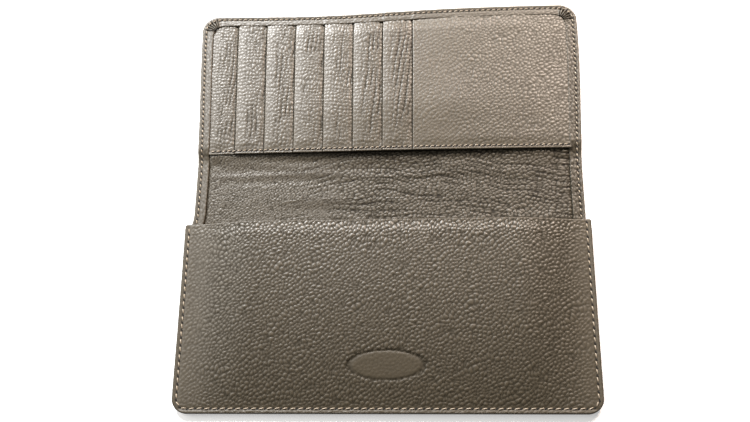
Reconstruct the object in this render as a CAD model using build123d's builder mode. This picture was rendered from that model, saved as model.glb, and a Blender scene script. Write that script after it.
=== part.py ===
from build123d import *
import os

# Long wallet, lying open and flat with its inside up. The upper half (+Y) holds the card slots and
# the note pocket, the lower half (-Y) holds one full-width plain pocket, and a spine of two folds
# joins them. X runs across the wallet and the origin is the centre of its footprint, on the surface
# that it lies on. All sizes are in millimetres.

# ---- driving dimensions ----
open_length = 203.0        # front to back, both halves and the spine
cover_width = 188.0        # across the upper half and the spine
pocket_width = 192.0       # across the lower half, from the pocket mouth down
fold_gap = 15.0            # between the two fold lines
mouth_setback = 5.8        # from the lower fold line to the pocket mouth
upper_corner = 8.0         # corner radius at the far edge
lower_corner = 7.0         # corner radius at the near edge

leather = 1.0              # cover and pocket leather
board = 0.4                # stiffener inside the cover
lining = 0.8               # inner lining leather
cloth = 0.4                # cloth behind the pocket and behind the card leaves
leaf = 0.5                 # one card leaf

side_hem = 5.8             # turned edge along the sides
far_hem = 5.0              # turned edge along the far and near edges
hem_leather = 0.8          # turned edge where it is skived
hem_wall = 1.0             # leather that wraps round the edge of the card block
note_gap = 1.2             # clear height of the note pocket at rest

block_near_edge = 23.6     # near edge of the card block, where the note pocket opens
first_slot_edge = -75.2    # left edge of the first card leaf
slot_step = 14.75          # from one leaf edge to the next
leaf_count = 7
leaf_depth = 74.7          # from a leaf's open edge to its sewn edge

pocket_crown = 10.0        # top of the pocket leather at its mouth
pocket_shoulder = 12.0     # width over which the pocket rises at its sides
pocket_seam = 4.2          # flat sewn margin round the pocket
pocket_knee_height = 7.0   # height of the pocket face where its slope changes
pocket_knee_setback = 21.5 # from the near edge to that change of slope

thread_inset = 2.2         # from the edge to the line of stitches
thread_width = 0.5
thread_height = 0.3
thread_stop = 1.0          # stitches stop this short of a fold line
clearance = 0.1            # between pieces that only lie side by side

# ---- heights and places that follow ----
half_length = open_length / 2
fold_y = fold_gap / 2
mouth_y = -fold_y - mouth_setback
board_top = leather + board
lining_top = board_top + lining
backing_base = lining_top + note_gap
leaf_base = backing_base + cloth
hem_top = leaf_base + hem_leather
seam_top = lining_top + leather
inner_half_width = cover_width / 2 - side_hem
block_far_edge = half_length - far_hem


def rounded_half(width, near_y, far_y, radius):
    """A rectangle from one fold line (near_y) to far_y, with the two corners at far_y rounded."""
    with BuildSketch() as shape:
        with Locations((0, (near_y + far_y) / 2)):
            Rectangle(width, abs(far_y - near_y))
        if radius > 0:
            rows = shape.vertices().group_by(Axis.Y)
            fillet(rows[-1] if far_y > near_y else rows[0], radius)
    return shape.sketch


def upper_outline(inset, near_y=fold_y):
    """The upper half's outline drawn inset from its edge, from near_y to the far edge."""
    return rounded_half(cover_width - 2 * inset, near_y, half_length - inset, upper_corner - inset)


def pocket_outline(inset, near_y=mouth_y):
    """The pocket's outline drawn inset from its edge, from near_y to the near edge."""
    return rounded_half(pocket_width - 2 * inset, near_y, inset - half_length, lower_corner - inset)


def lower_outline():
    """The lower half's cover: pocket width below the mouth, cover width above it."""
    with BuildSketch() as shape:
        add(pocket_outline(0))
        add(rounded_half(cover_width, -fold_y, mouth_y, 0))
    return shape.sketch


def upper_inside(near_y, inset=0):
    """The area inside the turned edge of the upper half, from near_y on."""
    return rounded_half(2 * (inner_half_width - inset), near_y, block_far_edge - inset,
                        upper_corner - far_hem - inset)


def lower_inside():
    """The area inside the turned edge of the lower half."""
    return rounded_half(2 * inner_half_width, -fold_y, far_hem - half_length, lower_corner - far_hem)


def spine_strip(width):
    """A strip across the spine, from fold line to fold line."""
    return rounded_half(width, -fold_y, fold_y, 0)


def plate(outline, base, thickness):
    """A flat sheet of the given outline."""
    with BuildPart() as sheet:
        with BuildSketch(Plane.XY.offset(base)):
            add(outline)
        extrude(amount=thickness)
    return sheet.part


def rim(outline, hollow, base, top):
    """What is left of an outline round a hollow, between two heights."""
    with BuildPart() as wall:
        with BuildSketch(Plane.XY.offset(base)):
            add(outline)
            add(hollow, mode=Mode.SUBTRACT)
        extrude(amount=top - base)
    return wall.part


def finish(piece, name):
    """Labels a finished piece and writes it."""
    piece.label = name
    export_step(piece, f"parts/{name}.step")


os.makedirs("parts", exist_ok=True)


# ---- lower half ----
with BuildPart() as outer_shell_lower:
    add(plate(lower_outline(), 0, leather))
    add(rim(lower_outline(), lower_inside(), leather, lining_top))
finish(outer_shell_lower.part, "outer_shell_lower")

with BuildPart() as stiffener_lower:
    add(plate(lower_inside(), leather, board))
finish(stiffener_lower.part, "stiffener_lower")

with BuildPart() as lining_lower:
    add(plate(lower_inside(), board_top, lining))
finish(lining_lower.part, "lining_lower")


# ---- the pocket on the lower half ----
# The pocket's face is crowned: it rises from its sewn margin to the mouth. Across the wallet the
# rise is a shoulder at each side, and along the wallet it is two slopes.
shoulder_foot = pocket_width / 2 - pocket_seam
shoulder_head = shoulder_foot - pocket_shoulder
slope_foot = pocket_seam - half_length
slope_knee = pocket_knee_setback - half_length


def point_on(low, high, height):
    """Where the straight slope from low to high, each (place, height), passes a height."""
    share = (height - low[1]) / (high[1] - low[1])
    return low[0] + share * (high[0] - low[0])


def crowned_body(drop, base):
    """The solid between a height and the pocket's crowned face lowered by drop, inside the margin."""
    foot_x = point_on((shoulder_foot, seam_top), (shoulder_head, pocket_crown), base + drop)
    foot_y = point_on((slope_foot, seam_top), (slope_knee, pocket_knee_height), base + drop)
    head = pocket_crown - drop
    knee = pocket_knee_height - drop
    with BuildPart() as body:
        with BuildSketch(Plane.XZ.offset(-mouth_y)):
            with BuildLine():
                Polyline((-foot_x, base), (-shoulder_head, head), (shoulder_head, head),
                         (foot_x, base), close=True)
            make_face()
        extrude(amount=half_length + mouth_y)
        with BuildSketch(Plane.YZ):
            with BuildLine():
                Polyline((mouth_y, base), (foot_y, base), (slope_knee, knee),
                         (mouth_y, head), close=True)
            make_face()
        extrude(amount=pocket_width / 2, both=True, mode=Mode.INTERSECT)
    return body.part


with BuildPart() as front_pocket_panel:
    add(plate(pocket_outline(0), lining_top, leather))
    add(crowned_body(0, lining_top))
    add(crowned_body(leather, lining_top), mode=Mode.SUBTRACT)
finish(front_pocket_panel.part, "front_pocket_panel")

with BuildPart() as front_pocket_lining:
    add(crowned_body(leather + clearance, lining_top + clearance))
    add(crowned_body(leather + clearance + cloth, lining_top + clearance), mode=Mode.SUBTRACT)
finish(front_pocket_lining.part, "front_pocket_lining")

with BuildPart() as stitching_pocket:
    add(rim(pocket_outline(thread_inset - thread_width / 2, mouth_y - thread_stop),
            pocket_outline(thread_inset + thread_width / 2, mouth_y - thread_stop),
            seam_top, seam_top + thread_height))
finish(stitching_pocket.part, "stitching_pocket")


# ---- stitches along the sides of the cover ----
def side_threads(near_y, far_y, height):
    """One straight row of stitches on each side of the cover, between two y values."""
    with BuildPart() as rows:
        with BuildSketch(Plane.XY.offset(height)):
            with Locations((0, (near_y + far_y) / 2)):
                with GridLocations(cover_width - 2 * thread_inset, 0, 2, 1):
                    Rectangle(thread_width, abs(far_y - near_y))
        extrude(amount=thread_height)
    return rows.part


with BuildPart() as stitching_border_lower:
    add(side_threads(mouth_y + thread_stop, -fold_y - thread_stop, lining_top))
finish(stitching_border_lower.part, "stitching_border_lower")


# ---- spine ----
with BuildPart() as outer_shell_spine:
    add(plate(spine_strip(cover_width), 0, leather))
    add(rim(spine_strip(cover_width), spine_strip(2 * inner_half_width), leather, lining_top))
finish(outer_shell_spine.part, "outer_shell_spine")

with BuildPart() as spine_reinforcement:
    add(plate(spine_strip(2 * inner_half_width), leather, board))
finish(spine_reinforcement.part, "spine_reinforcement")

with BuildPart() as lining_spine:
    add(plate(spine_strip(2 * inner_half_width), board_top, lining))
finish(lining_spine.part, "lining_spine")

with BuildPart() as stitching_spine:
    add(side_threads(thread_stop - fold_y, fold_y - thread_stop, lining_top))
finish(stitching_spine.part, "stitching_spine")


# ---- upper half ----
# The turned edge is as low as the lining next to the fold. Beside the card block it rises: it closes
# the sides and the far end of the note pocket, wraps round the card backing and lies on top of it.
with BuildPart() as outer_shell_upper:
    add(plate(upper_outline(0), 0, leather))
    add(rim(upper_outline(0), upper_inside(fold_y), leather, lining_top))
    add(rim(upper_outline(0, block_near_edge), upper_inside(block_near_edge),
            lining_top, backing_base))
    add(rim(upper_outline(0, block_near_edge), upper_outline(hem_wall, block_near_edge),
            backing_base, leaf_base))
    add(rim(upper_outline(0, block_near_edge), upper_inside(block_near_edge),
            leaf_base, hem_top))
finish(outer_shell_upper.part, "outer_shell_upper")

with BuildPart() as stiffener_upper:
    add(plate(upper_inside(fold_y), leather, board))
finish(stiffener_upper.part, "stiffener_upper")

with BuildPart() as lining_upper:
    add(plate(upper_inside(fold_y), board_top, lining))
finish(lining_upper.part, "lining_upper")

with BuildPart() as card_backing:
    add(plate(upper_outline(hem_wall + clearance, block_near_edge), backing_base, cloth))
finish(card_backing.part, "card_backing")


# ---- card leaves ----
# Each leaf lies on the one to its left, and its right-hand edge is sewn to the backing. So its left
# part is level, as high as the leaves under it, and its right part slopes down to the backing.
def leaf_edge(number):
    """The x of a leaf's open edge, counted from 0 at the left."""
    return first_slot_edge + number * slot_step


def leaf_height(number, x):
    """The height of a leaf's underside above the backing."""
    steps_left = (leaf_edge(number) + leaf_depth - x) / slot_step
    return leaf * min(number, steps_left)


def leaf_strip(number, start_x, end_x, base, thickness, near_y, far_y):
    """A sheet that follows a leaf's slope from start_x to end_x, raised by base."""
    knee_x = leaf_edge(number) + leaf_depth - number * slot_step
    places = sorted({start_x, end_x} | ({knee_x} if start_x < knee_x < end_x else set()))
    lower = [(x, base + leaf_height(number, x)) for x in places]
    upper = [(x, z + thickness) for x, z in reversed(lower)]
    with BuildPart() as strip:
        with BuildSketch(Plane.XZ.offset(-near_y)):
            with BuildLine():
                Polyline(*lower, *upper, close=True)
            make_face()
        extrude(amount=near_y - far_y)
    return strip.part


for number in range(leaf_count):
    with BuildPart() as card_pocket:
        add(leaf_strip(number, leaf_edge(number), leaf_edge(number) + leaf_depth, leaf_base, leaf,
                       block_near_edge, block_far_edge))
        add(plate(upper_inside(block_near_edge, clearance), leaf_base, leaf * (leaf_count + 1)),
            mode=Mode.INTERSECT)
    finish(card_pocket.part, f"card_pocket_{number + 1}")

# One row of stitches runs along the block's near edge, over the backing and each leaf in turn.
row_near = block_near_edge + thread_inset - thread_width / 2
row_far = row_near + thread_width
row_end = inner_half_width - clearance

with BuildPart() as stitching_card_panel:
    add(leaf_strip(0, -row_end, leaf_edge(0), leaf_base, thread_height, row_near, row_far))
    for number in range(leaf_count):
        next_edge = leaf_edge(number + 1) if number + 1 < leaf_count else leaf_edge(number) + leaf_depth
        add(leaf_strip(number, leaf_edge(number), next_edge, leaf_base + leaf, thread_height,
                       row_near, row_far))
finish(stitching_card_panel.part, "stitching_card_panel")

with BuildPart() as stitching_border_upper:
    add(side_threads(fold_y + thread_stop, block_near_edge - thread_stop, lining_top))
    add(rim(upper_outline(thread_inset - thread_width / 2, block_near_edge + thread_stop),
            upper_outline(thread_inset + thread_width / 2, block_near_edge + thread_stop),
            hem_top, hem_top + thread_height))
finish(stitching_border_upper.part, "stitching_border_upper")
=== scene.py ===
import math

import bpy
import numpy as np
from mathutils import Matrix, Vector


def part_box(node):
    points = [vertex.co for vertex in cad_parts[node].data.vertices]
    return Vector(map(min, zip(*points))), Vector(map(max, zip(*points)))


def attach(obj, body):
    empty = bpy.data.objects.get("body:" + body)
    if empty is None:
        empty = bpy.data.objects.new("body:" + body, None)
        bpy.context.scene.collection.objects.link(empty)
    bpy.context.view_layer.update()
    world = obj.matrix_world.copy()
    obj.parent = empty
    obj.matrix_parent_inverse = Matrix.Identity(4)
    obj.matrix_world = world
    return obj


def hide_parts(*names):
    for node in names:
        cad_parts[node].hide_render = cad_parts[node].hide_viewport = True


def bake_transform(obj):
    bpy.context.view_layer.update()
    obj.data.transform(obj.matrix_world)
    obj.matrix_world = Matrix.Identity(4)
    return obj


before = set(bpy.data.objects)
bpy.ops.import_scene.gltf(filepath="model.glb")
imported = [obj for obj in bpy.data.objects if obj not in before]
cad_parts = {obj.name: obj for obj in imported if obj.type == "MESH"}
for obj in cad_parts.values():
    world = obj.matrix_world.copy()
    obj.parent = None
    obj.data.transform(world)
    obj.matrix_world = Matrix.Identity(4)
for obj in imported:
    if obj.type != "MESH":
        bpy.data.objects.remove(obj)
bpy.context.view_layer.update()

# Sizes in this script are millimetres, in the frame's own axes, and become metres in Surface.piece.
MM = 0.001
X, Y, Z = 0, 1, 2


def edge(node, side, axis):
    """One side of a CAD node's box, in millimetres: side is 0 for the low side and 1 for the high."""
    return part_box(node)[side][axis] / MM


# ---- places that come from the frame ----
COVER_HALF = edge("outer_shell_upper", 1, X)
POCKET_HALF = edge("front_pocket_panel", 1, X)
INNER_HALF = edge("lining_spine", 1, X)
HEM = COVER_HALF - INNER_HALF
FAR = edge("outer_shell_upper", 1, Y)
NEAR = edge("outer_shell_lower", 0, Y)
FOLD = edge("outer_shell_spine", 1, Y)
MOUTH = edge("front_pocket_panel", 1, Y)
BLOCK_NEAR = edge("card_backing", 0, Y)
BLOCK_FAR = edge("card_pocket_1", 1, Y)
RIM_TOP = edge("front_pocket_panel", 0, Z)
BOARD_TOP = edge("stiffener_lower", 1, Z)
LINING_TOP = edge("lining_spine", 1, Z)
CROWN = edge("front_pocket_panel", 1, Z)
BACKING_TOP = edge("card_backing", 1, Z)
LEAF = edge("card_pocket_1", 1, Z) - edge("card_pocket_1", 0, Z)
LEAVES = [f"card_pocket_{n}" for n in range(1, 8)]
LEAF_EDGES = [edge(name, 0, X) for name in LEAVES]
LEAF_ENDS = [edge(name, 1, X) for name in LEAVES]
STEP = LEAF_EDGES[1] - LEAF_EDGES[0]

# ---- looks ----
FINE = 0.45  # spacing of the vertices where leather shows
OUTSIDE = 0.7  # and on the outside of the cover
HIDDEN = 2.0  # and on the back of the pocket leather
PEBBLE = 1.8  # width of a pebble of the leather's grain
GRAIN = 0.5  # height of the grain
PITCH, POCKET_PITCH = 2.65, 3.5  # from stitch to stitch, on the turned edge and on the pocket
SEAM, CARD_SEAM = 2.2, 1.7  # from a leather edge to its stitches, and on the card block
THREAD = 0.28  # radius of the thread
THREAD_SUNK = 0.28  # how deep the stitches sink into the leather
FLOOR_GAP = 0.24  # mean height of the cover's outside above the floor
MARK_PLACE = (1.0, -80.5)  # the middle of the pressed oval on the pocket
MARK_SIZE = (17.0, 6.5)  # its half sizes
UPPER_CORNER = 8.5  # radius of the cover's far corners
LOWER_CORNER = 7.0  # and of its near ones
UPPER_INNER_CORNER = 6.2  # radius of the corners of the turned edge's cut, at the far end
LOWER_INNER_CORNER = 1.2  # and at the near one, under the pocket

# ---- noise and leather grain, worked out in numpy as real geometry ----
TABLE = 256  # the random tables repeat after so many cells
RANDOM = np.random.default_rng(20).random((6, TABLE, TABLE))
JITTER_TABLES, NUMBER_TABLE = (3, 4), 5  # for the places and the numbers of the pebbles
BEYOND_CELLS = 9.0  # further away than any pebble's centre
# amount, size and layer of the noises that warp the rows of pebbles, along X and along Y
WARP_X = ((1.3, 9, 2), (0.5, 4.1, 0), (0.12, 1.3, 1))
WARP_Y = ((1.3, 9.7, 0), (0.5, 4.7, 1), (0.12, 1.1, 2))
GRAIN_TURN = (0.81, 0.59)  # cosine and sine of the angle at which the rows run
SMALLER, SMALL_SHIFT = 1.9, (17, 5)  # the small grain between the pebbles
BIG_HEIGHT, SMALL_HEIGHT = (0.66, 0.16), (0.04, 0.12)  # least height, and what chance adds to it


def smooth(t):
    """A soft step from 0 at t=0 to 1 at t=1."""
    t = np.clip(t, 0, 1)
    return t * t * (3 - 2 * t)


def bell(distance, width):
    """1 at distance 0, falling away softly over the width."""
    return np.exp(-((distance / width) ** 2))


def noise(x, y, size, layer=0):
    """Smooth noise from -1 to 1 whose features are about size across."""
    x, y = np.broadcast_arrays(np.asarray(x, float) / size, np.asarray(y, float) / size)
    ix, iy = np.floor(x).astype(int), np.floor(y).astype(int)
    fx, fy = smooth(x - ix), smooth(y - iy)
    table = RANDOM[layer]
    left, right = ix % TABLE, (ix + 1) % TABLE
    near, far = iy % TABLE, (iy + 1) % TABLE
    a = table[left, near] * (1 - fx) + table[right, near] * fx
    b = table[left, far] * (1 - fx) + table[right, far] * fx
    return (a * (1 - fy) + b * fy) * 2 - 1


def cells(x, y, jitter_x=0.8):
    """Unit cells with jittered centres. How much further the second nearest centre is than the nearest,
    and the random number of the nearest."""
    ix, iy = np.floor(x).astype(int), np.floor(y).astype(int)
    first = np.full(np.shape(x), BEYOND_CELLS)
    second = np.full(np.shape(x), BEYOND_CELLS)
    value = np.zeros(np.shape(x))
    for dx in (-1, 0, 1):
        for dy in (-1, 0, 1):
            cell = (ix + dx) % TABLE, (iy + dy) % TABLE
            px = ix + dx + 0.5 + jitter_x * (RANDOM[JITTER_TABLES[0]][cell] - 0.5)
            py = iy + dy + 0.1 + 0.8 * RANDOM[JITTER_TABLES[1]][cell]
            d = np.hypot(x - px, y - py)
            nearer = d < first
            second = np.where(nearer, first, np.minimum(second, d))
            value = np.where(nearer, RANDOM[NUMBER_TABLE][cell], value)
            first = np.minimum(first, d)
    return second - first, value


def warped(value, x, y, warps):
    for amount, size, layer in warps:
        value = value + amount * noise(x, y, size, layer)
    return value


def dome(gap, width, power):
    """The rounded top of a pebble, from 0 where it meets the next one to 1 at its middle."""
    return 1 - (1 - np.clip(gap / width, 0, 1)) ** power


def pebbles(x, y, long_x=1.0, long_y=1.0, shift=0.0, columns=False):
    """Grain of pebbled leather: 0 in the creases and near 1 on a pebble. columns lines them up along Y."""
    wx = warped(x, x, y, WARP_X) + shift
    wy = warped(y, x, y, WARP_Y) - shift
    u, v = wx / (PEBBLE * long_x), wy / (PEBBLE * long_y)
    if not columns:
        cosine, sine = GRAIN_TURN
        u, v = cosine * u + sine * v, cosine * v - sine * u
    gap, value = cells(u, v, 0.76 if columns else 0.8)
    small_gap, small_value = cells(SMALLER * u + SMALL_SHIFT[0], SMALLER * v + SMALL_SHIFT[1])
    big = dome(gap, 0.79, 2.2)
    small = dome(small_gap, 0.8, 2)
    return (big * (BIG_HEIGHT[0] + BIG_HEIGHT[1] * value)
            + small * (SMALL_HEIGHT[0] + SMALL_HEIGHT[1] * small_value))


def crease_shade(grain):
    """How much painted shade the grain gets at its height: 0 on the pebbles, and 0.6 in the deepest creases."""
    return np.clip((0.63 - grain) * 1.4, 0, 0.6)


def crease_lines(across, along, spacing, layer):
    """Wavy, broken creases, spacing apart: 1 in the middle of a crease."""
    wander = 0.55 * spacing * noise(across, along * 0.4, 3 * spacing, layer)
    phase = (across + wander) / spacing
    distance = np.abs(phase - np.round(phase)) * spacing
    broken = smooth(0.6 + 1.2 * noise(across, along * 0.3, 1.2 * spacing, (layer + 1) % 3))
    return broken * bell(distance, 0.36)


# ---- one gentle settling of the whole wallet, shared by every piece ----
# how far each side stands out, at the fold and at the far edge
LEFT_FLARE, RIGHT_FLARE = (-1.2, 1.5), (0.0, 2.2)
FAR_SAG, SAG_MIDDLE, SAG_WIDTH = 2.1, -28, 52  # how far the far edge sags towards the camera, and where
FAR_LIFT = 1.5  # how far the far edge stands up
LIFT_VARIES, LIFT_WAVE = 0.25, 37  # unevenness of that along X
OUTSIDE_STAYS = 0.3  # the outside stays down, under the stiffening board


def settle(points):
    """Moves points (n, 3) from the frame's straight outline to the slightly uneven one of used leather."""
    x, y, z = points.T.copy()
    t = np.clip((y - FOLD) / (FAR - FOLD), 0, 1.1)
    onto_cover = smooth((y - MOUTH + 2) / 8)
    left = LEFT_FLARE[0] + (LEFT_FLARE[1] - LEFT_FLARE[0]) * smooth(t)
    right = RIGHT_FLARE[0] + (RIGHT_FLARE[1] - RIGHT_FLARE[0]) * smooth(t * 1.3)
    flare = np.where(x < 0, left, right) * onto_cover * np.abs(x) / COVER_HALF
    sag = FAR_SAG * t ** 2 * bell(x - SAG_MIDDLE, SAG_WIDTH)
    uneven = 1 + LIFT_VARIES * np.sin(x / LIFT_WAVE)
    lift = FAR_LIFT * t ** 2 * uneven * smooth((z - OUTSIDE_STAYS) / 2)
    return np.stack([x + np.sign(x) * flare, y - sag, z + lift], 1)


def link(name, data):
    """A Blender object with this data, in the scene."""
    made = bpy.data.objects.new(name, data)
    bpy.context.scene.collection.objects.link(made)
    return made


class Surface:
    """Collects grids and loops of points into one mesh."""

    def __init__(self):
        self.points, self.crease, self.faces, self.count = [], [], [], 0

    def add(self, points, crease=0.0):
        """Adds an array of points (..., 3) and returns their numbers in the same layout."""
        points = np.asarray(points, float)
        shape = points.shape[:-1]
        numbers = np.arange(self.count, self.count + int(np.prod(shape))).reshape(shape)
        self.points.append(points.reshape(-1, 3))
        self.crease.append(np.broadcast_to(crease, shape).reshape(-1))
        self.count += numbers.size
        return numbers

    def at(self, numbers):
        """The points that have these numbers."""
        return np.concatenate(self.points)[numbers]

    def quads(self, numbers, flip=False):
        """Faces between the rows of a grid of point numbers."""
        corners = [numbers[:-1, :-1], numbers[:-1, 1:], numbers[1:, 1:], numbers[1:, :-1]]
        if flip:
            corners.reverse()
        self.faces.append(np.stack([c.ravel() for c in corners], 1))

    def bridge(self, a, b, flip=False):
        """Triangles between two lines of point numbers that run the same way but differ in length."""
        points = np.concatenate(self.points)

        def shares(line):
            steps = np.linalg.norm(np.diff(points[line], axis=0), axis=1)
            return np.concatenate([[0], np.cumsum(steps)]) / max(steps.sum(), 1e-9)

        sa, sb = shares(a), shares(b)
        i = j = 0
        made = []
        while i < len(a) - 1 or j < len(b) - 1:
            forward = j == len(b) - 1 or (i < len(a) - 1 and sa[i + 1] <= sb[j + 1])
            made.append((a[i], a[i + 1], b[j]) if forward else (a[i], b[j + 1], b[j]))
            i, j = (i + 1, j) if forward else (i, j + 1)
        made = np.array(made)
        self.faces.append(made[:, ::-1] if flip else made)

    def piece(self, name, material):
        """Makes the settled Blender object, with a UV map for the material and the crease values."""
        points = np.concatenate(self.points)
        mesh = bpy.data.meshes.new(name)
        mesh.vertices.add(len(points))
        mesh.vertices.foreach_set("co", (settle(points) * MM).ravel())
        loops = np.concatenate([f.ravel() for f in self.faces])
        sizes = np.concatenate([np.full(len(f), f.shape[1]) for f in self.faces])
        mesh.loops.add(len(loops))
        mesh.loops.foreach_set("vertex_index", loops)
        mesh.polygons.add(len(sizes))
        mesh.polygons.foreach_set("loop_start", np.concatenate([[0], np.cumsum(sizes)[:-1]]))
        mesh.polygons.foreach_set("use_smooth", np.ones(len(sizes), bool))
        uv = mesh.uv_layers.new(name="rest")
        flat = points[:, :2] / 100 + points[:, 2:] / 100 * (0.7, 0.4)
        uv.data.foreach_set("uv", flat[loops].ravel())
        # the crease values say how much painted shade each point gets
        crease = mesh.attributes.new("crease", "FLOAT", "POINT")
        crease.data.foreach_set("value", np.concatenate(self.crease).astype(np.float32))
        mesh.update(calc_edges=True)
        mesh.validate()
        mesh.materials.append(material)
        return link(name, mesh)


# ---- outlines seen from above ----
class Outline:
    """A rectangle whose corners at its near or far end may be rounded. half is half its width,
    as a number or as a function of Y."""

    def __init__(self, half, near, far, near_radius=0.0, far_radius=0.0):
        self.half = half if callable(half) else (lambda y: np.full(np.shape(y), float(half)))
        self.near, self.far = near, far
        self.near_radius, self.far_radius = near_radius, far_radius

    def side(self, y, inset=0.0):
        """Half the width at y, drawn inset from the edge."""
        width = self.half(y) - inset
        for end, radius, sign in ((self.near, self.near_radius, 1), (self.far, self.far_radius, -1)):
            r = max(radius - inset, 0.0)
            if radius > 0:
                d = np.clip((y - end) * sign - inset, 0, r)
                width = width - (r - np.sqrt(np.maximum(r * r - (r - d) ** 2, 0)))
        return width

    def rows(self, step, inset=0.0):
        """Places along Y, closer together in the rounded corners."""
        low = self.near + (inset if self.near_radius > 0 else 0)
        high = self.far - (inset if self.far_radius > 0 else 0)
        parts = []
        for end, radius, sign in ((low, self.near_radius, 1), (high, self.far_radius, -1)):
            r = max(radius - inset, 0.0)
            if radius > 0:
                turns = np.linspace(0, math.pi / 2, max(int(r * math.pi / 2 / step), 4) + 1)
                parts.append(end + sign * r * (1 - np.cos(turns)))
        start = parts[0].max() if self.near_radius > 0 else low
        stop = parts[-1].min() if self.far_radius > 0 else high
        parts.append(np.linspace(start, stop, max(int((stop - start) / step), 2) + 1))
        return np.unique(np.concatenate(parts).round(5))

    def grid(self, step, inset=0.0):
        """Points of a grid that fills the outline: arrays x and y."""
        y = self.rows(step, inset)
        columns = max(int(2 * self.half(np.array(0.0)) / step), 2) + 1
        across = np.linspace(-1, 1, columns)
        x = across[None, :] * self.side(y, inset)[:, None]
        return x, np.repeat(y[:, None], columns, 1)


def rim_of(numbers):
    """The closed line of point numbers round a grid, from its first corner and back to it."""
    return np.concatenate([numbers[0, :], numbers[1:, -1], numbers[-1, -2::-1], numbers[-2::-1, 0]])


def closed_grid(numbers):
    """A grid of point numbers whose rows run on into their first point."""
    return np.concatenate([numbers, numbers[:, :1]], 1)


def outward(line):
    """Unit normals, in the XY plane, of a closed line of points that runs anticlockwise."""
    run = line[:-1]
    along = np.roll(run, -1, 0) - np.roll(run, 1, 0)
    normal = np.stack([along[:, 1], -along[:, 0]], 1)
    normal /= np.maximum(np.linalg.norm(normal, axis=1), 1e-9)[:, None]
    return np.concatenate([normal, normal[:1]])


# painted shade on a sheet's rounded edge and on its underside
RIM_SHADE, UNDER_SHADE = 0.4, 0.2  # how dark a sheet's rounded edge and its underside are


def rolled_sheet(name, material, outline, top, bottom, radius, step, under_step):
    """A sheet with rounded edges. top(x, y) gives height and crease; bottom(x, y) gives height."""
    made = Surface()
    x, y = outline.grid(step, radius)
    z, crease = top(x, y)
    face = made.add(np.stack([x, y, z], -1), crease)
    made.quads(face)
    line = rim_of(face)
    base = made.at(line)
    normal = outward(base[:, :2])
    low = bottom(base[:, 0], base[:, 1])
    rows = [line]
    height = np.maximum(base[:, 2] - low, 0.02)
    round_z = np.minimum(radius, height / 2)
    for turn in np.linspace(0, math.pi, 9)[1:]:
        out = radius * math.sin(turn)
        drop = np.where(turn <= math.pi / 2, round_z * (1 - math.cos(turn)),
                        height - round_z * (1 + math.cos(turn)))
        ring = np.column_stack([base[:, :2] + normal * out, base[:, 2] - drop])
        ids = made.add(ring[:-1], RIM_SHADE)
        rows.append(np.append(ids, ids[0]))
    made.quads(np.stack(rows), flip=True)
    x, y = outline.grid(under_step, radius)
    under = made.add(np.stack([x, y, bottom(x, y)], -1), UNDER_SHADE)
    made.quads(under, flip=True)
    made.bridge(rows[-1], rim_of(under), flip=True)
    return made.piece(name, material)


# ---- materials ----
# painted shade: near black, for gaps where no light gets in
GAP = (0.008, 0.006, 0.004)  # the colour where leather closes over leather
FULLY_DARK = 0.7  # the crease value that takes the dark colour; from there on it goes to GAP
LIGHT_SHARE = 0.88  # brightness of the darker patches


def new_material(name):
    material = bpy.data.materials.new(name)
    material.use_nodes = True
    tree = material.node_tree
    return material, tree.nodes, tree.links, tree.nodes["Principled BSDF"]


def new_node(nodes, kind, values, **settings):
    """A shader node with its own settings, and with values for its inputs."""
    made = nodes.new("ShaderNode" + kind)
    for key, value in settings.items():
        setattr(made, key, value)
    for key, value in values.items():
        made.inputs[key].default_value = value
    return made


def add_ramp(nodes, links, share, low, high, low_colour, high_colour):
    """The colour that a ramp gives for a share: one colour up to low, another from high on."""
    ramp = nodes.new("ShaderNodeValToRGB")
    first, second = ramp.color_ramp.elements
    first.position, second.position = low, high
    first.color, second.color = (*low_colour, 1), (*high_colour, 1)
    links.new(share, ramp.inputs["Fac"])
    return ramp.outputs["Color"]


def add_bump(nodes, links, shader, height, strength, distance):
    bump = new_node(nodes, "Bump", {"Strength": strength, "Distance": distance})
    links.new(height, bump.inputs["Height"])
    links.new(bump.outputs["Normal"], shader.inputs["Normal"])


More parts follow.
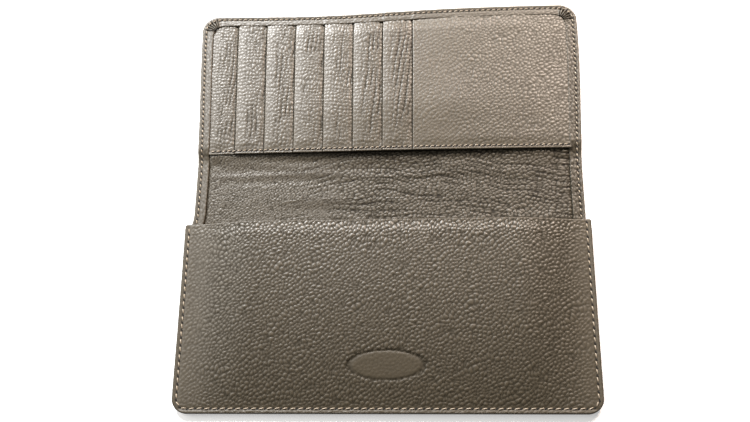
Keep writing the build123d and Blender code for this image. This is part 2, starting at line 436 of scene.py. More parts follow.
def leather_material(name, light, dark, roughness):
    """Pigmented pebbled leather with uneven tone and fine pores. The crease value paints shade on it: the dark
    colour in creases, near black in gaps, and rougher, less shiny leather there.
    """
    material, nodes, links, shader = new_material(name)
    place = new_node(nodes, "UVMap", {}, uv_map="rest")
    crease = new_node(nodes, "Attribute", {}, attribute_name="crease")

    def texture(scale, detail):
        made = new_node(nodes, "TexNoise", {"Scale": scale, "Detail": detail})
        links.new(place.outputs["UV"], made.inputs["Vector"])
        return made.outputs["Fac"]

    def by_crease(values):
        """A share that follows the crease value."""
        share = new_node(nodes, "MapRange", values)
        links.new(crease.outputs["Fac"], share.inputs["Value"])
        return share.outputs["Result"]

    cloud, speck, pores = texture(6.0, 4.0), texture(90.0, 3.0), texture(420.0, 2.0)
    tone = new_node(nodes, "Math", {1: 0.55}, operation="MULTIPLY_ADD")
    links.new(cloud, tone.inputs[0])
    weight = new_node(nodes, "Math", {1: 0.45}, operation="MULTIPLY")
    links.new(speck, weight.inputs[0])
    links.new(weight.outputs[0], tone.inputs[2])
    patches = [c * LIGHT_SHARE for c in light]
    colour = add_ramp(nodes, links, tone.outputs[0], 0.36, 0.64, patches, light)
    for shade, low, high in ((dark, 0.0, FULLY_DARK), (GAP, FULLY_DARK, 1.0)):
        share = by_crease({"From Min": low, "From Max": high})
        mix = new_node(nodes, "Mix", {"B": (*shade, 1)}, data_type="RGBA")
        links.new(colour, mix.inputs["A"])
        links.new(share, mix.inputs["Factor"])
        colour = mix.outputs["Result"]
    links.new(colour, shader.inputs["Base Color"])
    rough = by_crease({"From Max": 0.8, "To Min": roughness, "To Max": roughness + 0.3})
    links.new(rough, shader.inputs["Roughness"])
    shine = by_crease({"From Max": 0.72, "To Min": 0.77, "To Max": 0.2})
    links.new(shine, shader.inputs["Specular IOR Level"])
    add_bump(nodes, links, shader, pores, 0.25, 0.0001)
    return material


def plain_material(name, light, dark, scale, roughness):
    """Thread, cloth or board: a fine two-tone texture with a matching bump."""
    material, nodes, links, shader = new_material(name)
    place = new_node(nodes, "TexCoord", {})
    texture = new_node(nodes, "TexNoise", {"Scale": scale, "Detail": 4.0})
    links.new(place.outputs["Object"], texture.inputs["Vector"])
    colour = add_ramp(nodes, links, texture.outputs["Fac"], 0.35, 0.65, dark, light)
    links.new(colour, shader.inputs["Base Color"])
    add_bump(nodes, links, shader, texture.outputs["Fac"], 0.3, 0.0002)
    shader.inputs["Roughness"].default_value = roughness
    return material


# the second colour is painted shade, taken where the crease value is high
TAUPE, TAUPE_SHADE = (0.0535, 0.041, 0.0215), (0.017, 0.013, 0.006)
LEATHER = leather_material("pebbled_leather", TAUPE, TAUPE_SHADE, 0.43)
THREAD_LIGHT = plain_material("waxed_thread", (0.36, 0.3, 0.225), (0.2, 0.165, 0.12), 4000, 0.32)
# painted shade inside the needle holes
HOLE_SHADE = plain_material("needle_hole_shade", (0.006, 0.005, 0.003), (0.004, 0.003, 0.002), 3000, 1.0)
CLOTH = plain_material("pocket_cloth", (0.20, 0.17, 0.13), (0.13, 0.11, 0.085), 2500, 0.85)
BOARD = plain_material("fibre_board", (0.52, 0.47, 0.38), (0.42, 0.37, 0.29), 900, 0.9)


# ---- how leather lies at its stitches, at a distance d from its edge ----
def seam_dip(d, seam=SEAM):
    """How far it is drawn in."""
    return 0.28 * bell(d - seam, 0.9)


def thread_shadow(d, seam=SEAM):
    """How much painted shadow it gets under the thread."""
    return 0.28 * bell(d - seam, 0.5)


def calm(d, seam=SEAM):
    """How much of its grain is left."""
    return 1 - 0.75 * bell(d - seam, 1.0)


# ---- the plain pocket ----
POCKET = Outline(POCKET_HALF, NEAR, MOUTH, near_radius=LOWER_CORNER)
POCKET_EDGE = 1.0  # thickness of the pocket leather at its sewn edge
MOUTH_LIFT = 1.5  # how much higher its sides are at the mouth
POCKET_MARGIN = 3  # the sewn margin along the near edge, which stays flat
POCKET_THICK = 1.3  # its thickness under the crown
# in that zone the pebbles are left light as painted glints and their creases painted darker
MOUTH_GLINT_WIDTH = 16  # the zone along the mouth where the grain stands out most
CLOTH_INSET = 5.0  # how far the cloth stops inside the pocket's outline
CLOTH_GRID = (160, 80)
CLOTH_GAP, CLOTH_THICK = 0.15, 0.35


def pocket_height(x, y):
    """The pocket leather's top, without its grain."""
    t = np.clip((y - NEAR - POCKET_MARGIN) / (MOUTH - NEAR - POCKET_MARGIN), 0, 1)
    rise = 1 - (1 - t) ** 2.4
    side = smooth((POCKET_HALF - np.abs(x) - 2.5) / 32)
    edge_lift = MOUTH_LIFT * t ** 2
    soft = 0.35 * noise(x, y, 31, 2) * side
    lip = 0.8 * smooth(1 - (MOUTH - y) / 6) * side
    crown = (CROWN - RIM_TOP - POCKET_EDGE - edge_lift) * rise * side
    return RIM_TOP + POCKET_EDGE + edge_lift + crown + soft * t - lip


def mark(x, y):
    """A plain oval line pressed into the pocket: 1 on the line, and 1 where the leather is pressed inside it."""
    d = np.hypot((x - MARK_PLACE[0]) / MARK_SIZE[0], (y - MARK_PLACE[1]) / MARK_SIZE[1])
    distance = (d - 1) * MARK_SIZE[1] * 1.2
    return bell(distance, 0.6), smooth(0.5 - distance / 1.2)


def pocket_top(x, y):
    """Height and crease of the pocket leather's grained top."""
    grain = pebbles(x, y, shift=3.0)
    edge_d = np.minimum(POCKET_HALF - np.abs(x), y - NEAR)
    line, pressed = mark(x, y)
    flat = 0.5 + 0.5 * smooth((x + POCKET_HALF - 4) / 18) * smooth((POCKET_HALF - x - 2) / 12)
    flat = flat * (0.4 + 0.6 * smooth(edge_d / 5)) * (1 - 0.7 * pressed) * calm(edge_d)
    lip = smooth((MOUTH - y) / 2)
    mouth_glints = smooth(1 - (MOUTH - y) / MOUTH_GLINT_WIDTH)
    relief = GRAIN * (grain - 0.75) * flat * (0.5 + 0.5 * lip) * (1 + 0.4 * mouth_glints)
    z = pocket_height(x, y) + relief - seam_dip(edge_d) - 0.3 * line - 0.15 * pressed
    # painted light: away from the mouth the leather is painted a little darker, near it the pebbles stay light
    # and the creases darken more
    tone = 0.9 * crease_shade(grain) * flat * (1 + 0.5 * mouth_glints) + 0.13 * (1 - mouth_glints)
    return z, np.clip(tone + 0.3 * line + thread_shadow(edge_d), 0, 1)


def pocket_bottom(x, y):
    """Height of the pocket leather's back: on the rim at the sewn margin, and under the crown inside it."""
    inner = smooth((np.minimum(POCKET_HALF - np.abs(x), y - NEAR) - 3.5) / 2)
    return np.maximum(RIM_TOP + 0.02, (pocket_height(x, y) - POCKET_THICK) * inner)


def add_pocket_cloth():
    """The cloth behind the pocket leather, from just inside the mouth down to the sewn margin."""
    made = Surface()
    inset = CLOTH_INSET
    x, y = np.meshgrid(np.linspace(inset - POCKET_HALF, POCKET_HALF - inset, CLOTH_GRID[0]),
                       np.linspace(NEAR + inset, MOUTH - inset, CLOTH_GRID[1]))
    z = pocket_bottom(x, y) - CLOTH_GAP
    sides = []
    for drop in (0.0, CLOTH_THICK):
        sides.append(made.add(np.stack([x, y, z - drop], -1)))
        made.quads(sides[-1], flip=drop > 0)
    made.quads(np.stack([rim_of(sides[0]), rim_of(sides[1])]), flip=True)
    cloth = made.piece("pocket_cloth", CLOTH)
    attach(cloth, "lower_half")
    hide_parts("front_pocket_lining")


pocket_panel = rolled_sheet("pocket_panel", LEATHER, POCKET, pocket_top, pocket_bottom, 0.6, FINE, HIDDEN)
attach(pocket_panel, "lower_half")
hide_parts("front_pocket_panel")
add_pocket_cloth()

# ---- the cover, with its edge turned in ----
TURNED_THICK, TURNED_TOP = 0.95, 0.3  # from the turned edge's top to the lower and upper rim of its cut
FIRST_ROW = 0.25  # from the cut to the first row of grain
OUTER_ROUND = 1.1  # radius of the upper rounding at the cover's outer edge
LOWER_ROUND = 0.9  # and of the lower one
ROUND_CREASE = 0.15  # how dark the roundings are
OVER_LINING = 12  # the lining's creases run on into the right-hand turned edge
HEM_LIFT = 0.5  # the turned edge lies on the lining
HEM_LEATHER = 0.7  # thickness of the turned edge over the card block
LOWEST = 0.01  # nothing of the cover comes closer to the floor


def lining_creases(x, y, end):
    """Long, slightly curved creases across the spine: deeper on the right, and fading out before |X| = end."""
    across = y + 0.12 * x * np.sin(x / 60) + 1.5 * noise(x, y, 14, 1)
    amount = 0.2 + 0.8 * smooth((x + 60) / 50)
    return amount * crease_lines(across, x, 2.7, 0) * smooth((end - np.abs(x)) / 10)


def cover_path(half, end, radius, step):
    """Points and outward normals along the cover's edge, from (-half, 0) round the end at Y=end."""
    turns = np.linspace(0, math.pi / 2, int(radius * math.pi / 2 / step) * 2 + 1)
    up = np.linspace(0, end - radius, int((end - radius) / step) + 1)
    wide = float(half(end))
    across = np.linspace(radius - wide, wide - radius, int(2 * wide / step))
    left = np.stack([-half(up), up], 1)
    arc = np.stack([radius - wide - radius * np.cos(turns), end - radius + radius * np.sin(turns)], 1)
    top = np.stack([across, np.full(len(across), end)], 1)
    start = np.concatenate([left[:-1], arc])
    points = np.concatenate([start[:-1], top, (start * (-1, 1))[::-1][1:]])
    along = np.gradient(points, axis=0)
    normal = np.stack([-along[:, 1], along[:, 0]], 1)
    normal /= np.linalg.norm(normal, axis=1)[:, None]
    return points, normal


def corner_turns(path, half, end, radius):
    """For each point of the edge: degrees round its corner's centre, and a share that is 1 in mid-corner
    and 0 on the straights."""
    centre = np.array([float(half(end)) - radius, end - radius])
    turned = np.degrees(np.arctan2(path[:, 1] - centre[1], np.abs(path[:, 0]) - centre[0]))
    inside = (np.abs(path[:, 0]) > centre[0]) & (path[:, 1] > centre[1])
    return turned, np.where(inside, np.sin(np.radians(np.clip(turned, 0, 90)) * 2), 0)


def cut_line(path, normal, half, end, radius):
    """Where the turned edge ends, HEM inside the cover's edge: its corners are rounded to the radius."""
    inner = path - normal * HEM
    centre = np.array([float(half(end)) - HEM - radius, end - HEM - radius])
    reach = np.stack([np.abs(inner[:, 0]), inner[:, 1]], 1) - centre
    length = np.hypot(*reach.T)
    beyond = (reach.min(1) > 0) & (length > radius)
    reach[beyond] *= (radius / length[beyond])[:, None]
    return (reach + centre) * np.stack([np.sign(inner[:, 0]), np.ones(len(inner))], 1)


def turned_row(number, inset, x, y, height, turned, spread, pleats):
    """Height and crease along one row of the turned edge. Rows 0 and 1 are the rims of its cut. turned and
    spread say where the corners are, and pleats how much the leather is gathered there."""
    grain = pebbles(x, y, shift=11.0)
    pleat = np.abs(np.sin(np.radians(turned) * 12 + 0.4)) ** 4
    fold = pleats * spread * smooth((inset - 0.7) / 2) * pleat
    thick = 0.35 * pleats * spread * smooth(inset / 3)
    right = x > INNER_HALF - 1
    across = 0.24 * lining_creases(x, y, INNER_HALF + OVER_LINING) * right * (y < BLOCK_NEAR - 1)
    ridge = bell(y - BLOCK_NEAR + 0.6, 0.5) * smooth((inset - 1.6) / 0.8)
    relief = GRAIN * (0.5 + 0.3 * right) * (grain - 0.6) * calm(inset)
    z = height + thick + relief - seam_dip(inset) - 0.7 * fold - across - 0.12 * ridge
    if number < 2:
        z = height + thick - (TURNED_THICK if number == 0 else TURNED_TOP - 0.2 * right)
    # painted shade: near black in the cut's gap (fainter on the right), and darker in the pleats' folds, at the
    # corners' cut, in the lining's creases and at the ridge
    gap = (number == 0) * (1 - 0.8 * right)
    crease = crease_shade(grain) * (0.5 + 0.4 * right) + 0.1 + thread_shadow(inset) + 0.6 * fold + gap
    crease = crease + 0.5 * spread * (number == 1) + 1.6 * across + 0.3 * ridge
    return z, np.clip(crease, 0, 1)


def outside_height(away, grain):
    """Height and crease of the cover's outside, away from its edge."""
    flat = smooth((away - LOWER_ROUND) / 2)
    relief = GRAIN * 0.8 * (grain - 0.2) * flat * calm(away)
    z = FLOOR_GAP - relief + 0.9 * seam_dip(away)
    return np.maximum(z, LOWEST), np.clip(crease_shade(grain) * calm(away) + thread_shadow(away), 0, 1)


def cover(name, sign, half, end, radius, inner_radius, top, pleats):
    """Half of the cover from mid-spine to one end: sign is 1 for the far end and -1 for the near one."""
    made = Surface()
    path, normal = cover_path(half, end, radius, FINE * 1.3)
    turned, corner = corner_turns(path, half, end, radius)
    inner = cut_line(path, normal, half, end, inner_radius)
    fine_rows = int((HEM - OUTER_ROUND - 0.2) / (FINE * 0.75))
    insets = np.concatenate([[HEM, HEM], np.linspace(HEM - FIRST_ROW, OUTER_ROUND, fine_rows)])
    rows = []
    for number, inset in enumerate(insets):
        share = inset / HEM - 0.2 * pleats * smooth(corner * 2) * (number == 1)
        place = path + (inner - path) * np.reshape(share, (-1, 1))
        x, y = place[:, 0], place[:, 1] * sign
        z, crease = turned_row(number, inset, x, y, top(x, y), turned, smooth(corner * 7), pleats)
        rows.append(made.add(np.stack([x, y, z], 1), crease))
    height = top(path[:, 0], path[:, 1] * sign)
    for turn in np.linspace(0, math.pi / 2, 6)[1:]:
        place = path - normal * OUTER_ROUND * (1 - math.sin(turn))
        z = height - OUTER_ROUND * (1 - math.cos(turn))
        rows.append(made.add(np.column_stack([place[:, 0], place[:, 1] * sign, z]), ROUND_CREASE))
    for turn in np.linspace(0, math.pi / 2, 5):
        place = path - normal * LOWER_ROUND * (1 - math.cos(turn))
        z = np.full(len(path), FLOOR_GAP + LOWER_ROUND * (1 - math.sin(turn)))
        rows.append(made.add(np.column_stack([place[:, 0], place[:, 1] * sign, z]), ROUND_CREASE))
    made.quads(np.stack(rows), flip=sign < 0)
    x, y = Outline(half, 0, end, far_radius=radius).grid(OUTSIDE, LOWER_ROUND)
    grain = pebbles(x, y * sign, shift=40.0)
    away = np.minimum(half(y) - np.abs(x), end - y)
    z, crease = outside_height(away, grain)
    under = made.add(np.stack([x, y * sign, z], -1), crease)
    made.quads(under, flip=sign > 0)
    line = np.concatenate([under[:, 0], under[-1, 1:], under[-2::-1, -1]])
    made.bridge(rows[-1], line, flip=sign < 0)
    return made.piece(name, LEATHER)


def straight_half(y):
    """Half the width of the upper half."""
    return np.full(np.shape(y), COVER_HALF)


def lower_half_width(y):
    """Half the width of the lower half: it steps out at the mouth. y runs towards the near edge."""
    step = smooth((np.asarray(y, float) + MOUTH + 0.4) / 2.2)
    return COVER_HALF + (POCKET_HALF - COVER_HALF) * step


def leaf_base(number, x):
    """Height of a leaf's underside above the backing, where nothing presses the leaves together."""
    steps_left = (LEAF_ENDS[number] - x) / STEP
    return LEAF * np.clip(np.minimum(number, steps_left), 0, None)


def stack_height(x):
    """Height of the top leaf's upper side above the backing."""
    x = np.asarray(x, float)
    top = np.zeros(x.shape)
    for number, (low, high) in enumerate(zip(LEAF_EDGES, LEAF_ENDS)):
        on_leaf = smooth((x - low) / 0.8 + 0.5) * smooth((high - x) / 0.8 + 0.5)
        top = top + (leaf_base(number, x) + LEAF - top) * on_leaf
    return top


def squeeze(y):
    """Share of its loose thickness that the stack of leaves keeps. It is less under the turned edge
    and at the stitches."""
    far = smooth((BLOCK_FAR + 0.5 - y) / 8)
    near = 0.3 + 0.7 * smooth((y - BLOCK_NEAR - 1) / 27)
    return (0.35 + 0.65 * far) * near


def upper_hem_top(x, y):
    """The turned edge lies on the lining near the fold and on the card block beyond it."""
    low = RIM_TOP + HEM_LIFT
    high = BACKING_TOP + 0.42 * stack_height(x) * smooth((y - BLOCK_FAR + 3) / 3) + HEM_LEATHER
    return low + (high - low) * smooth((y - BLOCK_NEAR + 4) / 8)


def lower_hem_top(x, y):
    """The turned edge goes down under the pocket."""
    under_pocket = smooth((MOUTH - y) / 2 + 0.5)
    return RIM_TOP + HEM_LIFT * (1 - under_pocket)


cover_upper = cover("cover_upper", 1, straight_half, FAR, UPPER_CORNER, UPPER_INNER_CORNER,
                    upper_hem_top, pleats=1.0)
cover_lower = cover("cover_lower", -1, lower_half_width, -NEAR, LOWER_CORNER, LOWER_INNER_CORNER,
                    lower_hem_top, pleats=0.0)
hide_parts("outer_shell_upper")
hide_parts("outer_shell_lower", "outer_shell_spine")

# ---- lining ----
LINING_DOWN = 0.1  # mean depth of the grained lining below its CAD top
LINING_STOPS = 8  # how far the linings stop short of the cover's ends
LINING_UNDER_HEM = 2  # how far they reach under the turned edge at the sides
FINE_REACH, COARSE = 5, 4  # the fine rows reach this far under the pocket and the block; coarse rows beyond
LEFT_GRAIN, RIGHT_GRAIN = (0.8, 0.62, 31.0), (1.25, 0.8, 23.0)  # stretch along X and Y, and shift


def lining_height(x, y):
    """Long soft folds across the spine. It rises to the card block and dips under the pocket's mouth."""
    inner = smooth((INNER_HALF - np.abs(x)) / 14)
    wander = 1.4 * noise(x, 0.0, 37, 1)
    wave = 0.4 * bell(y - BLOCK_NEAR + 5 + wander, 2.2)
    wave += 0.35 * bell(y - BLOCK_NEAR + 11.5 - wander, 2.2)
    wave += 0.2 * noise(x / 6, y, 5.5, 0)
    rise = 1.2 * smooth((y - BLOCK_NEAR + 6) / 6) * smooth((FAR - 12 - y) / 8)
    dip = 0.7 * smooth((MOUTH + 2.2 - y) / 2.2)
    return LINING_TOP - LINING_DOWN + wave * inner * (y < BLOCK_NEAR + 2) + rise - dip


def lining_rows(low, high, step):
    return np.linspace(low, high, max(int((high - low) / step), 1) + 1)


def lining(name, low, high):
    """The lining from Y=low to Y=high: fine where it shows between the pocket and the card block."""
    made = Surface()
    fine_low, fine_high = max(low, MOUTH - FINE_REACH), min(high, BLOCK_NEAR + FINE_REACH)
    rows = np.unique(np.concatenate([lining_rows(low, fine_low, COARSE),
                                     lining_rows(fine_low, fine_high, FINE),
                                     lining_rows(fine_high, high, COARSE)]))
    reach = INNER_HALF + LINING_UNDER_HEM
    x, y = np.meshgrid(np.linspace(-reach, reach, int(2 * INNER_HALF / FINE)), rows)
    coarse = smooth((x + 50) / 45)
    grain = coarse * pebbles(x, y, *RIGHT_GRAIN) + (1 - coarse) * pebbles(x, y, *LEFT_GRAIN)
    edge_d = INNER_HALF - np.abs(x)
    tuck = 0.5 * smooth(1 - edge_d / 1.5)
    deep = lining_creases(x, y, INNER_HALF + OVER_LINING * (x > 0))
    # the raised mouth hides the lining up to here: nearer than that it is smooth, and painted dark as shade in
    # the gap
    hidden = 0.35 * (pocket_height(x, MOUTH) - LINING_TOP)
    mouth_shadow = smooth((MOUTH + hidden + 0.8 - y) / 0.8)
    relief = GRAIN * (0.75 + 0.15 * coarse) * (grain - 0.75) * (1 - mouth_shadow)
    z = np.maximum(lining_height(x, y) + relief - 0.24 * deep - tuck, BOARD_TOP + 0.1)
    # painted shade: in the long creases, under the pocket's mouth, and a little more towards the right
    crease = 1.2 * crease_shade(grain) + 0.04 + 0.08 * coarse + 0.45 * deep + mouth_shadow
    made.quads(made.add(np.stack([x, y, z], -1), np.clip(crease, 0, 1)))
    return made.piece(name, LEATHER)


lining_front = lining("lining_front", NEAR + LINING_STOPS, 0)
lining_back = lining("lining_back", 0, FAR - LINING_STOPS)
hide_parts("lining_lower", "lining_spine")
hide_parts("lining_upper")

# ---- card block ----
FIRST_COLUMNS = np.array([0.0, 0.06, 0.2, 0.4])  # columns and rows of points over a sheet's rounded edge
FINE_FROM = 0.75  # and where the even grid takes over
EDGE_ROUND = 0.45  # radius of a sheet's edge
GRAIN_SHARE = 0.68  # the sheets' grain is lower than the cover's
FAR_TUCK = 0.6  # how far the sheets reach under the turned edge
HIDDEN_COLUMNS = 5  # spacing of the columns under the next leaf


def block_lift(x, y):
    """The note pocket's mouth gapes a little in the middle."""
    bow = np.cos(np.clip(x / INNER_HALF, -1, 1) * math.pi / 2) ** 0.8
    return 0.5 * bow * smooth(1 - (y - BLOCK_NEAR) / 45)


def card_sheet(name, number, low, high, fine_to, base, stretch, softness, wrinkles):
    """One sheet of the card block: fine where it shows, from low to fine_to, and plain under the next one.
    number is -1 for the base; base(x) is the height of the underside; softness is how much grain is left
    by the left edge; wrinkles(x, y) gives height and crease."""
    made = Surface()
    near, far = BLOCK_NEAR, BLOCK_FAR + FAR_TUCK
    hidden = max(int((high - fine_to) / HIDDEN_COLUMNS), 1) + 1
    columns = np.concatenate([low + FIRST_COLUMNS,
                              np.linspace(low + FINE_FROM, fine_to, int((fine_to - low) / FINE)),
                              np.linspace(fine_to, high, hidden)[1:]])
    rows = np.concatenate([near + FIRST_COLUMNS,
                           np.linspace(near + FINE_FROM, far, int((far - near) / FINE))])
    x, y = np.meshgrid(columns, rows)
    grain = pebbles(x, y, *stretch, 51.0 + 7 * number, columns=number < 6)
    t = np.clip((x - low) / (fine_to - 1 - low), 0, 1)
    soft = softness + (1 - softness) * smooth((t - 0.1) / 0.4)
    z = BACKING_TOP - LEAF * (number < 0) + base(x) * squeeze(y) + block_lift(x, y)
    z = z - 0.4 * seam_dip(y - BLOCK_NEAR, CARD_SEAM)
    d = np.minimum(x - low, y - near)
    depth = EDGE_ROUND - np.clip(d, 0, EDGE_ROUND)
    rounding = EDGE_ROUND - np.sqrt(np.maximum(EDGE_ROUND ** 2 - depth ** 2, 0))
    wrinkle, wrinkle_crease = wrinkles(x, y)
    soft = soft * (0.5 + 0.5 * smooth(d / 1.2)) * calm(y - near, CARD_SEAM)
    top = z + LEAF + GRAIN_SHARE * GRAIN * (grain - 0.75) * soft + wrinkle - rounding
    crease = 0.85 * crease_shade(grain) * soft + wrinkle_crease + thread_shadow(y - near, CARD_SEAM)
    face = made.add(np.stack([x, y, top], -1), np.clip(crease, 0, 1))
    made.quads(face)
    for side in (face[:, 0], face[0, :]):
        # the sheet's cut edge is painted shade
        drop = made.add(made.at(side) - (0, 0, LEAF * 0.9), 0.6)
        made.quads(np.stack([side, drop]))
    piece = made.piece(name, LEATHER)
    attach(piece, "upper_half")
    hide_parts("card_backing" if number < 0 else LEAVES[number])


def flat_at_stitches(y):
    return smooth((y - BLOCK_NEAR - CARD_SEAM) / 5)


def strip_wrinkles(low, high):
    """Vertical wrinkles that deepen towards the next leaf's edge."""
    def height(x, y):
        t = np.clip((x - low) / (high - low), 0, 1)
        bulge = 0.4 * np.sin(math.pi * t ** 0.8) - 0.35 * smooth((t - 0.85) / 0.15)
        mid = smooth((y - BLOCK_NEAR - 3) / 12) * smooth((BLOCK_FAR - y) / 14)
        amount = smooth((t - 0.15) / 0.35) * (0.35 + 0.65 * mid)
        valley = amount * crease_lines(x - 0.1 * y, y, 2.3, 1)
        # painted shade in the wrinkles' valleys and in the gap by the next leaf's edge
        dark = 0.5 * valley + 0.75 * smooth((x - high + 0.75) / 0.6)
        return bulge * flat_at_stitches(y) - 0.3 * valley, dark
    return height


def soft_bulge(low, high):
    """The last leaf's plain face."""
    def height(x, y):
        t = np.clip((x - low) / (high - low), 0, 1)
        bulge = 0.5 * np.sin(math.pi * t) ** 0.7 + 0.15 * noise(x, y, 17, 2)
        return bulge * flat_at_stitches(y), 0.0 * x
    return height


card_sheet("card_base", -1, -INNER_HALF - 1.5, INNER_HALF + 1.5, LEAF_EDGES[0] + 1,
           lambda x: 0 * x, (0.9, 0.95), 0.7, strip_wrinkles(-INNER_HALF, LEAF_EDGES[0]))
for number, (low, high) in enumerate(zip(LEAF_EDGES, LEAF_ENDS)):
    last = number == len(LEAVES) - 1
    shown = high if last else LEAF_EDGES[number + 1]
    shape = (soft_bulge if last else strip_wrinkles)(low, shown)
    card_sheet(f"card_leaf_{number + 1}", number, low, high + (1.0 if last else 0), shown + 1.0,
               lambda x, n=number: leaf_base(n, x), (1.0, 1.0) if last else (0.9, 1.1), 0.65, shape)

# ---- stitches ----
STITCH_LENGTH = 0.36  # half a stitch's length, as a share of the pitch
SLANT, UNEVEN = 0.26, 0.04  # how far its ends stand to the sides, and what chance adds
ARCH, SINK, UNEVEN_ARCH = 0.2, 0.34, 0.02  # height of its middle, how far its ends go down, and chance
TWIST, TWIST_DEPTH = 14, 0.1  # the strands show as a ripple of the radius
# a needle hole is a near-black patch standing just above the leather: painted shade
HOLE_SIZE = (0.5, 0.58)  # half sizes of a needle hole
HOLE_RINGS = ((1.0, 0.11), (0.55, 0.16))  # its two rings: share of the size, and height
OUTSIDE_THREAD = 0.36  # from the cover's outside up to the middle of its threads
PAST_FOLD = 8  # where the rows that bend at the far fold end


def walk(points, pitch):
    """Places pitch apart along a line of points, with the direction there."""
    steps = np.linalg.norm(np.diff(points, axis=0), axis=1)
    length = np.concatenate([[0], np.cumsum(steps)])
    count = int(length[-1] / pitch)
    at = (np.arange(count) + 0.5) * length[-1] / count
    place, ahead, behind = [np.stack([np.interp(at + shift, length, points[:, k]) for k in range(2)], 1)
                            for shift in (0, 0.3, -0.3)]
    along = ahead - behind
    return place, along / np.linalg.norm(along, axis=1)[:, None]


def stitch_row(name, line, height, side, pitch):
    """Separate slanted stitches of twisted thread between needle holes, which are near-black patches of painted
    shade. side is -1 on the outside.
    """
    threads, hole_shades = Surface(), Surface()
    place, along = walk(np.asarray(line), pitch)
    across = np.stack([-along[:, 1], along[:, 0]], 1)
    around = np.linspace(0, 2 * math.pi, 9)[:-1]
    jitter = np.random.default_rng(5).normal(0, 1, (len(place), 3))
    for middle, forward, sideways, wobble in zip(place, along, across, jitter):
        rings = []
        for t in np.linspace(-1, 1, 9):
            r = THREAD * math.sqrt(max(1 - abs(t) ** 3, 0.03)) * (1 + TWIST_DEPTH * math.cos(t * TWIST))
            centre = middle + forward * t * STITCH_LENGTH * pitch + sideways * (SLANT * t + UNEVEN * wobble[0])
            z = height(*centre) + side * (ARCH - SINK * t * t + UNEVEN_ARCH * wobble[1])
            ring = centre + np.outer(np.cos(around) * r, sideways)
            rings.append(np.column_stack([ring, z + side * np.sin(around) * r]))
        threads.quads(closed_grid(threads.add(np.array(rings))), flip=side > 0)
        centre = middle + forward * pitch / 2
        rings = []
        for share, up in HOLE_RINGS:
            flat = centre + np.outer(np.cos(around) * HOLE_SIZE[0] * share, forward)
            flat = flat + np.outer(np.sin(around) * HOLE_SIZE[1] * share, sideways + forward * 0.7)
            rings.append(np.column_stack([flat, np.full(len(flat), height(*centre) + side * up)]))
        ids = hole_shades.add(np.array(rings))
        hole_shades.quads(closed_grid(ids), flip=side < 0)
        hole_shades.faces.append(ids[1][None, ::side])
    made = threads.piece(name, THREAD_LIGHT)
    hole_shade_piece = hole_shades.piece(name + "_hole_shades", HOLE_SHADE)
    return made, hole_shade_piece


def part_of(line, low, high):
    """The stretch of a line whose Y lies between low and high."""
    return line[(line[:, 1] >= low) & (line[:, 1] <= high)]


def upper_thread_height(x, y):
    return upper_hem_top(x, y) - THREAD_SUNK


def lower_thread_height(x, y):
    return RIM_TOP + HEM_LIFT - THREAD_SUNK


def pocket_thread_height(x, y):
    return float(pocket_height(np.array(x), np.array(y))) - THREAD_SUNK


def card_thread_height(x, y):
    top = BACKING_TOP - LEAF
    for number, low in enumerate(LEAF_EDGES):
        if x > low:
            top = BACKING_TOP + float(leaf_base(number, x) * squeeze(y))
    return top + LEAF + float(block_lift(x, y)) - 0.12


def outside_thread_height(x, y):
    return FLOOR_GAP + OUTSIDE_THREAD


def on_lower(piece):
    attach(piece, "lower_half")


def on_upper(piece):
    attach(piece, "upper_half")


def bend_low(piece):
    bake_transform(piece)


def bend_high(piece):
    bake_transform(piece)


def seam_of(half, end, radius):
    """The line of stitches SEAM inside the cover's edge."""
    path, normal = cover_path(half, end, radius, 1.0)
    return path - normal * SEAM


pocket_line = np.vstack([[[-POCKET_HALF + SEAM, MOUTH - 1.0]],
                         part_of(seam_of(lower_half_width, -NEAR, LOWER_CORNER) * (1, -1), NEAR, MOUTH - 3.5),
                         [[POCKET_HALF - SEAM, MOUTH - 1.0]]])
far_line = part_of(seam_of(straight_half, FAR, UPPER_CORNER), FOLD + PAST_FOLD, FAR)
block_line = np.stack([np.linspace(0.5 - INNER_HALF, INNER_HALF - 0.5, 200),
                       np.full(200, BLOCK_NEAR + CARD_SEAM)], 1)
# name, line, height, side, pitch, what it rides on, CAD node it replaces
rows = [("pocket", pocket_line, pocket_thread_height, 1, POCKET_PITCH, on_lower, "stitching_pocket"),
        ("border_upper", far_line, upper_thread_height, 1, PITCH, on_upper, "stitching_border_upper"),
        ("outside_lower", pocket_line, outside_thread_height, -1, POCKET_PITCH, on_lower, None),
        ("outside_upper", far_line, outside_thread_height, -1, PITCH, on_upper, None),
        ("card_panel", block_line, card_thread_height, 1, PITCH, on_upper, "stitching_card_panel")]
for x, word, low_node, high_node in ((SEAM - COVER_HALF, "left", "stitching_border_lower", "stitching_spine"),
                                     (COVER_HALF - SEAM, "right", None, None)):
    low_line, high_line = [[x, MOUTH + 1.0], [x, 0.0]], [[x, 0.0], [x, FOLD + PAST_FOLD]]
    rows += [("low_" + word, low_line, lower_thread_height, 1, PITCH, bend_low, low_node),
             ("outside_low_" + word, low_line, outside_thread_height, -1, PITCH, bend_low, None),
             ("high_" + word, high_line, upper_thread_height, 1, PITCH, bend_high, high_node),
             ("outside_high_" + word, high_line, outside_thread_height, -1, PITCH, bend_high, None)]
for name, line, height, side, pitch, place, replaced in rows:
    row = stitch_row("stitches_" + name, line, height, side, pitch)
    for made in row:
        place(made)
    if replaced:
        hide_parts(replaced)

bend_low(cover_lower)
bend_low(lining_front)
bend_high(cover_upper)
bend_high(lining_back)

# ---- hidden CAD pieces keep their shape and get their own material ----
for name in ("stiffener_lower", "spine_reinforcement", "stiffener_upper"):
    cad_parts[name].data.materials.clear()
    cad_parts[name].data.materials.append(BOARD)

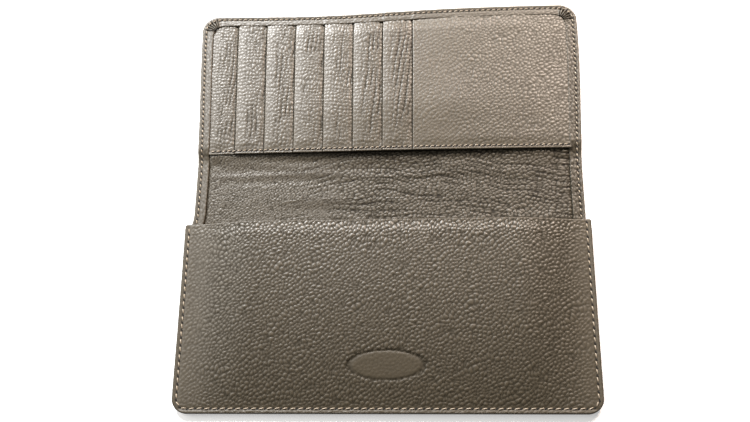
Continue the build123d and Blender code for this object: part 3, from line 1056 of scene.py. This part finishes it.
# ---- floor, lights and camera ----
FLOOR_HALF = 3.0  # metres
CAMERA_PLACE = (25.2, -146, 397.4)  # solved from the photographed outline
CAMERA_TURNS = ((4.36, "Y"), (19.39, "X"), (0.59, "Z"))  # degrees
LENS, SENSOR = 42.26, 36
LIGHTS = (  # place, aim and size in metres, watts, colour
    ("window", (-0.3, 0.58, 0.45), (0, 0.03, 0), 0.32, 16.5, (0.98, 0.99, 1.0)),
    ("lamp", (0.32, 0.5, 0.42), (0.06, 0.05, 0), 0.26, 9.5, (1.0, 0.84, 0.74)),
    ("left", (-0.55, 0.1, 0.36), (-0.05, 0, 0), 0.5, 2.7, (1.0, 0.98, 0.95)))
WORLD_COLOUR, WORLD_STRENGTH = (1.0, 0.97, 0.92, 1), 0.14


def add_floor():
    """White paper that glows a little, because the photograph's background is plain white."""
    size = FLOOR_HALF
    mesh = bpy.data.meshes.new("floor")
    corners = [(-size, -size, 0), (size, -size, 0), (size, size, 0), (-size, size, 0)]
    mesh.from_pydata(corners, [], [(0, 1, 2, 3)])
    material, nodes, links, shader = new_material("white_paper")
    texture = new_node(nodes, "TexNoise", {"Scale": 300})
    colour = add_ramp(nodes, links, texture.outputs["Fac"], 0.0, 1.0, (0.86, 0.86, 0.86), (0.9, 0.9, 0.9))
    links.new(colour, shader.inputs["Base Color"])
    for key, value in {"Roughness": 0.8, "Emission Color": (1, 1, 1, 1), "Emission Strength": 0.4}.items():
        shader.inputs[key].default_value = value
    mesh.materials.append(material)
    link("floor", mesh)


def add_area(name, place, aim, size, power, colour):
    lamp = bpy.data.lights.new(name, "AREA")
    lamp.shape, lamp.size, lamp.energy, lamp.color = "DISK", size, power, colour
    made = link(name, lamp)
    made.location = Vector(place)
    made.rotation_mode = "QUATERNION"
    made.rotation_quaternion = (Vector(aim) - Vector(place)).to_track_quat("-Z", "Y")


def add_camera():
    """The photograph's view: from above the near edge, a little to the right, looking down and forward."""
    camera = link("camera", bpy.data.cameras.new("camera"))
    camera.data.lens, camera.data.sensor_width = LENS, SENSOR
    camera.data.clip_start, camera.data.clip_end = 0.01, 50
    camera.matrix_world = Matrix.Translation(Vector(CAMERA_PLACE) * MM)
    for degrees, axis in CAMERA_TURNS:
        camera.matrix_world = camera.matrix_world @ Matrix.Rotation(math.radians(degrees), 4, axis)
    bpy.context.scene.camera = camera


add_floor()
for light in LIGHTS:
    add_area(*light)
world = bpy.data.worlds.new("studio")
world.use_nodes = True
background = world.node_tree.nodes["Background"]
background.inputs["Color"].default_value = WORLD_COLOUR
background.inputs["Strength"].default_value = WORLD_STRENGTH
bpy.context.scene.world = world
add_camera()
bpy.context.scene.view_settings.view_transform = "Standard"
